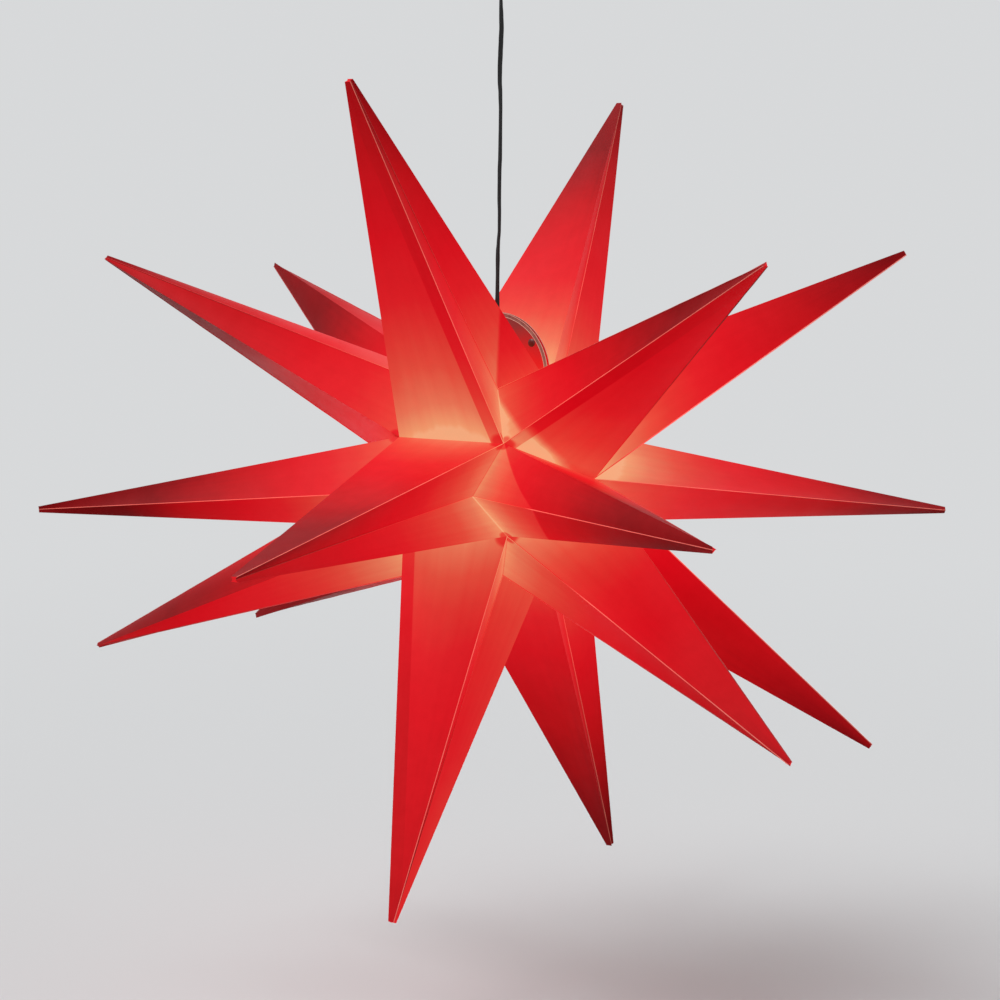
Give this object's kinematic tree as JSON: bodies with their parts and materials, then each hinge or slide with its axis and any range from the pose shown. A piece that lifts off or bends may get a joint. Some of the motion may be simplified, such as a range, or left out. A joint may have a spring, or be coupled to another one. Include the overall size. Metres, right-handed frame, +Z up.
{
  "type": "hanging star lantern",
  "caption": "Hanging lit star lantern of folded translucent sheet with slender hollow spikes, on a flat cord from a ceiling cup, with a screw-in lamp inside.",
  "frame": {"origin": "on the ceiling, at the top face of the bracket strap, straight above the middle of the star", "axes": "+Z up, +X along the fold fan's axis toward the right-hand pole, -Y toward the front of the star"},
  "size_m": [0.8431, 0.9923, 1.0731],
  "materials": {
    "star_sheet": "satin translucent red sheet, lit from inside",
    "flap_sheet": "satin translucent red sheet, nearly unlit",
    "stud_plastic": "dark red press stud cap",
    "steel": "zinc plated",
    "cord_jacket": "satin black flat twin cord",
    "lead_insulation": "black insulated lead",
    "white_plastic": "moulded white",
    "holder_black": "moulded black",
    "brass_parts": "stamped brass",
    "seal_rubber": "soft black",
    "solder_tin": "tinned contact",
    "insulator_black": "black insulator",
    "cap_nickel": "nickel plated screw cap",
    "board_green": "circuit board",
    "board_white": "white coated board",
    "chip_yellow": "phosphor coated chip",
    "lamp_glow": "opal diffuser, lit",
    "cup_white": "white powder coat",
    "block_white": "white terminal block"
  },
  "bodies": {
    "ceiling_fitting": {"ceiling_cup": "cup_white", "ceiling_bracket": "steel", "side_screws": "steel", "terminal_block": "block_white", "terminal_screws": "steel", "canopy_leads": "lead_insulation", "canopy_cord": "cord_jacket", "cord_gland": "white_plastic", "gland_nut": "white_plastic"},
    "boot": {"outlet_boot": "seal_rubber"},
    "pendant": {"pendant_cord": "cord_jacket"},
    "star": {"top_front_upper_leaf": "star_sheet", "top_front_lower_leaf": "star_sheet", "middle_front_upper_leaf": "star_sheet", "middle_front_lower_leaf": "star_sheet", "bottom_front_upper_leaf": "star_sheet", "bottom_front_lower_leaf": "star_sheet", "top_rear_upper_leaf": "star_sheet", "top_rear_lower_leaf": "star_sheet", "middle_rear_upper_leaf": "star_sheet", "middle_rear_lower_leaf": "star_sheet", "bottom_rear_upper_leaf": "star_sheet", "bottom_rear_lower_leaf": "star_sheet", "lower_cord": "cord_jacket", "cord_stop": "white_plastic", "lampholder_dome": "holder_black", "cord_clamp_screw": "steel", "holder_leads": "lead_insulation", "lampholder_body": "holder_black", "holder_terminals": "brass_parts", "holder_terminal_screws": "steel", "centre_contact": "brass_parts", "screw_shell": "brass_parts", "seal_ring": "seal_rubber"},
    "front_flap": {"front_flap": "flap_sheet", "stud_caps": "stud_plastic", "stud_sockets": "steel"},
    "rear_flap": {"rear_flap": "flap_sheet", "stud_posts": "steel", "stud_backs": "stud_plastic"},
    "lamp_travel": {"lamp_contact": "solder_tin"},
    "lamp": {"lamp_insulator": "insulator_black", "lamp_cap": "cap_nickel", "lamp_housing": "white_plastic", "driver_board": "board_green", "lamp_board": "board_white", "lamp_chips": "chip_yellow", "lamp_diffuser": "lamp_glow"}
  },
  "joints": [
    {"name": "swing_fore_aft", "type": "hinge", "parent": "ceiling_fitting", "child": "boot", "pos_m": [0, 0, -0.048], "axis": [1, 0, 0], "range_deg": [-20, 20]},
    {"name": "swing_side", "type": "hinge", "parent": "boot", "child": "pendant", "pos_m": [0, 0, -0.068], "axis": [0, 1, 0], "range_deg": [-20, 20]},
    {"name": "star_turn", "type": "hinge", "parent": "pendant", "child": "star", "pos_m": [0, 0, -0.437], "axis": [0, 0, 1], "range_deg": [-180, 180], "stiffness_Nm_per_rad": 0.004},
    {"name": "front_flap_fold", "type": "hinge", "parent": "star", "child": "front_flap", "pos_m": [0, -0.0024, -0.51936], "axis": [1, 0, 0], "range_deg": [0, 30], "stiffness_Nm_per_rad": 0.01},
    {"name": "rear_flap_fold", "type": "hinge", "parent": "star", "child": "rear_flap", "pos_m": [0, 0.0024, -0.51936], "axis": [-1, 0, 0], "range_deg": [0, 30], "stiffness_Nm_per_rad": 0.01},
    {"name": "lamp_travel", "type": "slide", "parent": "star", "child": "lamp_travel", "axis": [0, 0, -1], "range_m": [0, 0.01129]},
    {"name": "lamp_turn", "type": "hinge", "parent": "lamp_travel", "child": "lamp", "pos_m": [0, 0, -0.62], "axis": [0, 0, -1], "range_deg": [0, 1440]}
  ],
  "couplings": [
    {"joint": "lamp_turn", "follows": "lamp_travel", "rad_per_m": 2226.4}
  ]
}
